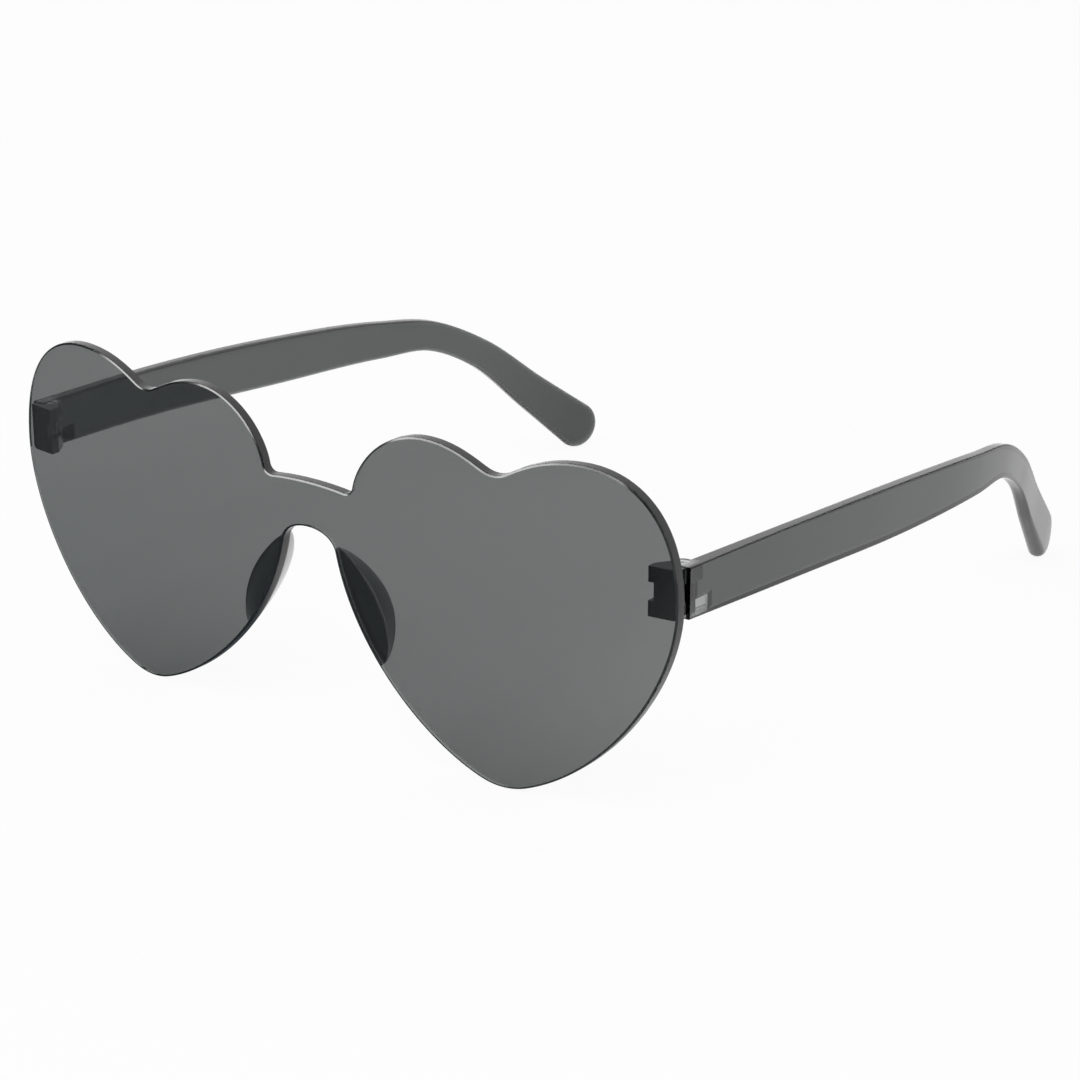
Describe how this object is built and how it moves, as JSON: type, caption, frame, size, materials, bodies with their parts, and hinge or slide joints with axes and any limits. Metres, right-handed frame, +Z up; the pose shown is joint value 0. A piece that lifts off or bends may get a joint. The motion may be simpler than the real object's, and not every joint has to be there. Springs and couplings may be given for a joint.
{
  "type": "heart shaped sunglasses",
  "caption": "Rimless tinted sunglasses whose lens is one bent sheet cut as joined hearts, with glued nose pads and hinge blocks, and temples that fold on small upright screws",
  "frame": {"origin": "centre of the overall width and depth, on the plane of the two heart tips and two temple tips that the glasses stand on", "axes": "+Z up, the lens faces -Y, +X is the wearer's left and the temples run back along +Y"},
  "size_m": [0.1514, 0.1624, 0.0604],
  "materials": {
    "smoke_sheet": "polished smoke tinted sheet, see-through",
    "smoke_moulding": "glossy smoke moulding, see-through",
    "temple_smoke": "glossy smoke moulding, see-through",
    "screw_steel": "small plated steel screw"
  },
  "bodies": {
    "front": {"lens_front": "smoke_sheet", "nose_pad_left": "smoke_moulding", "nose_pad_right": "smoke_moulding", "hinge_block_left": "smoke_moulding", "hinge_block_right": "smoke_moulding", "hinge_screw_left": "screw_steel", "hinge_screw_right": "screw_steel"},
    "temple_left": {"temple_left": "temple_smoke"},
    "temple_right": {"temple_right": "temple_smoke"}
  },
  "joints": [
    {"name": "temple_left_fold", "type": "hinge", "parent": "front", "child": "temple_left", "pos_m": [0.07165, -0.07129, 0.0409], "axis": [0, 0, 1], "range_deg": [0, 86.5]},
    {"name": "temple_right_fold", "type": "hinge", "parent": "front", "child": "temple_right", "pos_m": [-0.07165, -0.07129, 0.0409], "axis": [0, 0, -1], "range_deg": [0, 80]}
  ]
}
